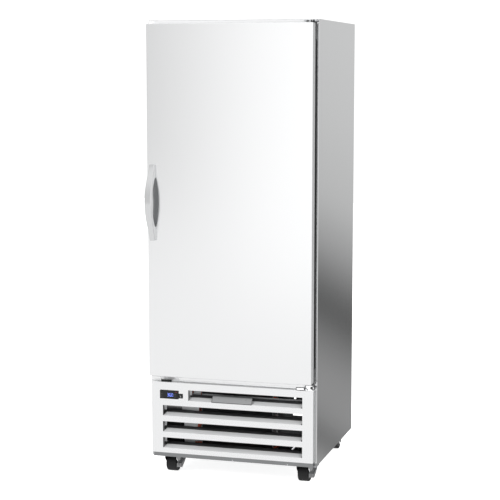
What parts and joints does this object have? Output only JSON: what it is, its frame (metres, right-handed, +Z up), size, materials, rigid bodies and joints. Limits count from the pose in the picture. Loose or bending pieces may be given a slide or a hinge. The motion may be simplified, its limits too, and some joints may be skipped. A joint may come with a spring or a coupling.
{
  "type": "reach in refrigerator",
  "caption": "Upright single-door reach-in refrigerator with a bow handle, louvred front grille over a bottom condensing unit, and swivel casters.",
  "frame": {"origin": "on the floor, under the middle of the overall footprint, handle and back panel included", "axes": "+Z up, -Y out of the door's front, +X toward the hinge side"},
  "size_m": [0.692, 0.756, 1.835],
  "materials": {
    "stainless": "bright brushed stainless",
    "brushed_side": "brushed stainless, grain upright",
    "white_steel": "satin white",
    "galvanised": "galvanised sheet",
    "zinc": "zinc plated",
    "foam": "rigid urethane foam",
    "white_plastic": "white thermoformed liner",
    "black_plastic": "black moulded",
    "display": "smoked window over a blue display",
    "gasket": "black magnetic gasket",
    "satin_handle": "satin",
    "coated_wire": "epoxy-coated wire",
    "aluminium": "mill",
    "black_fins": "black coated fins",
    "black_paint": "semi-gloss black",
    "copper": "copper tube",
    "lamp": "diffuser",
    "tread": "black polyurethane"
  },
  "bodies": {
    "cabinet": {"side_panel_left": "brushed_side", "side_panel_right": "brushed_side", "top_panel": "brushed_side", "back_panel": "galvanised", "insulation_foam": "foam", "inner_liner": "white_plastic", "face_frame": "white_steel", "base_pan": "galvanised", "cord_gland": "black_plastic", "pilaster_left_front": "galvanised", "pilaster_left_back": "galvanised", "pilaster_right_front": "galvanised", "pilaster_right_back": "galvanised", "wire_shelf_1": "coated_wire", "wire_shelf_2": "coated_wire", "wire_shelf_3": "coated_wire", "grille_panel": "stainless", "nameplate_blank": "stainless", "controller_housing": "black_plastic", "controller_display": "display", "switch_bezel": "black_plastic", "lock_keeper": "black_plastic", "hinge_bracket_top": "zinc", "hinge_bracket_bottom": "zinc", "condenser_fins": "black_fins", "condenser_tubes": "copper", "condenser_shroud": "black_paint", "condenser_fan_motor": "black_paint", "compressor_shell": "black_paint", "discharge_line": "copper", "suction_line": "copper", "condensate_pan": "galvanised", "evaporator_cover": "aluminium", "evaporator_coil": "aluminium", "evaporator_fan_motor": "black_paint", "interior_lamp": "lamp", "caster_plate_front_left": "zinc", "caster_plate_front_right": "zinc", "caster_plate_rear_left": "zinc", "caster_plate_rear_right": "zinc"},
    "door": {"door_skin": "stainless", "door_foam": "foam", "door_liner": "white_plastic", "door_gasket": "gasket", "hinge_bushing_top": "black_plastic", "hinge_cartridge_bottom": "black_plastic", "door_handle": "satin_handle"},
    "rocker": {"power_rocker": "black_plastic"},
    "condenser_fan": {"condenser_fan_blade": "aluminium"},
    "evaporator_fan": {"evaporator_fan_blade": "aluminium"},
    "swivel_front_left": {"caster_fork_front_left": "zinc"},
    "wheel_front_left": {"caster_wheel_front_left": "tread"},
    "swivel_front_right": {"caster_fork_front_right": "zinc"},
    "wheel_front_right": {"caster_wheel_front_right": "tread"},
    "swivel_rear_left": {"caster_fork_rear_left": "zinc"},
    "wheel_rear_left": {"caster_wheel_rear_left": "tread"},
    "swivel_rear_right": {"caster_fork_rear_right": "zinc"},
    "wheel_rear_right": {"caster_wheel_rear_right": "tread"},
    "brake_front_left": {"brake_lever_front_left": "zinc"},
    "brake_front_right": {"brake_lever_front_right": "zinc"}
  },
  "joints": [
    {"name": "door_swing", "type": "hinge", "parent": "cabinet", "child": "door", "pos_m": [0.3175, -0.308, 0.422], "axis": [0, 0, 1], "range_deg": [0, 120], "stiffness_Nm_per_rad": 4, "springref_deg": -20.05},
    {"name": "power_rocker_tip", "type": "hinge", "parent": "cabinet", "child": "rocker", "pos_m": [-0.212, -0.2972, 0.3382], "axis": [-1, 0, 0], "range_deg": [0, 14]},
    {"name": "condenser_fan_spin", "type": "hinge", "parent": "cabinet", "child": "condenser_fan", "pos_m": [0.043, -0.1368, 0.2328], "axis": [0, 1, 0], "continuous": true},
    {"name": "evaporator_fan_spin", "type": "hinge", "parent": "cabinet", "child": "evaporator_fan", "pos_m": [0, -0.035, 1.699], "axis": [0, 1, 0], "continuous": true},
    {"name": "swivel_front_left", "type": "hinge", "parent": "cabinet", "child": "swivel_front_left", "pos_m": [-0.279, -0.165, 0.07], "axis": [0, 0, 1], "continuous": true},
    {"name": "roll_front_left", "type": "hinge", "parent": "swivel_front_left", "child": "wheel_front_left", "pos_m": [-0.279, -0.193, 0.034], "axis": [1, 0, 0], "continuous": true},
    {"name": "swivel_front_right", "type": "hinge", "parent": "cabinet", "child": "swivel_front_right", "pos_m": [0.279, -0.165, 0.07], "axis": [0, 0, 1], "continuous": true},
    {"name": "roll_front_right", "type": "hinge", "parent": "swivel_front_right", "child": "wheel_front_right", "pos_m": [0.279, -0.193, 0.034], "axis": [1, 0, 0], "continuous": true},
    {"name": "swivel_rear_left", "type": "hinge", "parent": "cabinet", "child": "swivel_rear_left", "pos_m": [-0.279, 0.307, 0.07], "axis": [0, 0, 1], "continuous": true},
    {"name": "roll_rear_left", "type": "hinge", "parent": "swivel_rear_left", "child": "wheel_rear_left", "pos_m": [-0.279, 0.335, 0.034], "axis": [1, 0, 0], "continuous": true},
    {"name": "swivel_rear_right", "type": "hinge", "parent": "cabinet", "child": "swivel_rear_right", "pos_m": [0.279, 0.307, 0.07], "axis": [0, 0, 1], "continuous": true},
    {"name": "roll_rear_right", "type": "hinge", "parent": "swivel_rear_right", "child": "wheel_rear_right", "pos_m": [0.279, 0.335, 0.034], "axis": [1, 0, 0], "continuous": true},
    {"name": "brake_front_left", "type": "hinge", "parent": "swivel_front_left", "child": "brake_front_left", "pos_m": [-0.279, -0.175, 0.056], "axis": [1, 0, 0], "range_deg": [0, 15]},
    {"name": "brake_front_right", "type": "hinge", "parent": "swivel_front_right", "child": "brake_front_right", "pos_m": [0.279, -0.175, 0.056], "axis": [1, 0, 0], "range_deg": [0, 15]}
  ]
}
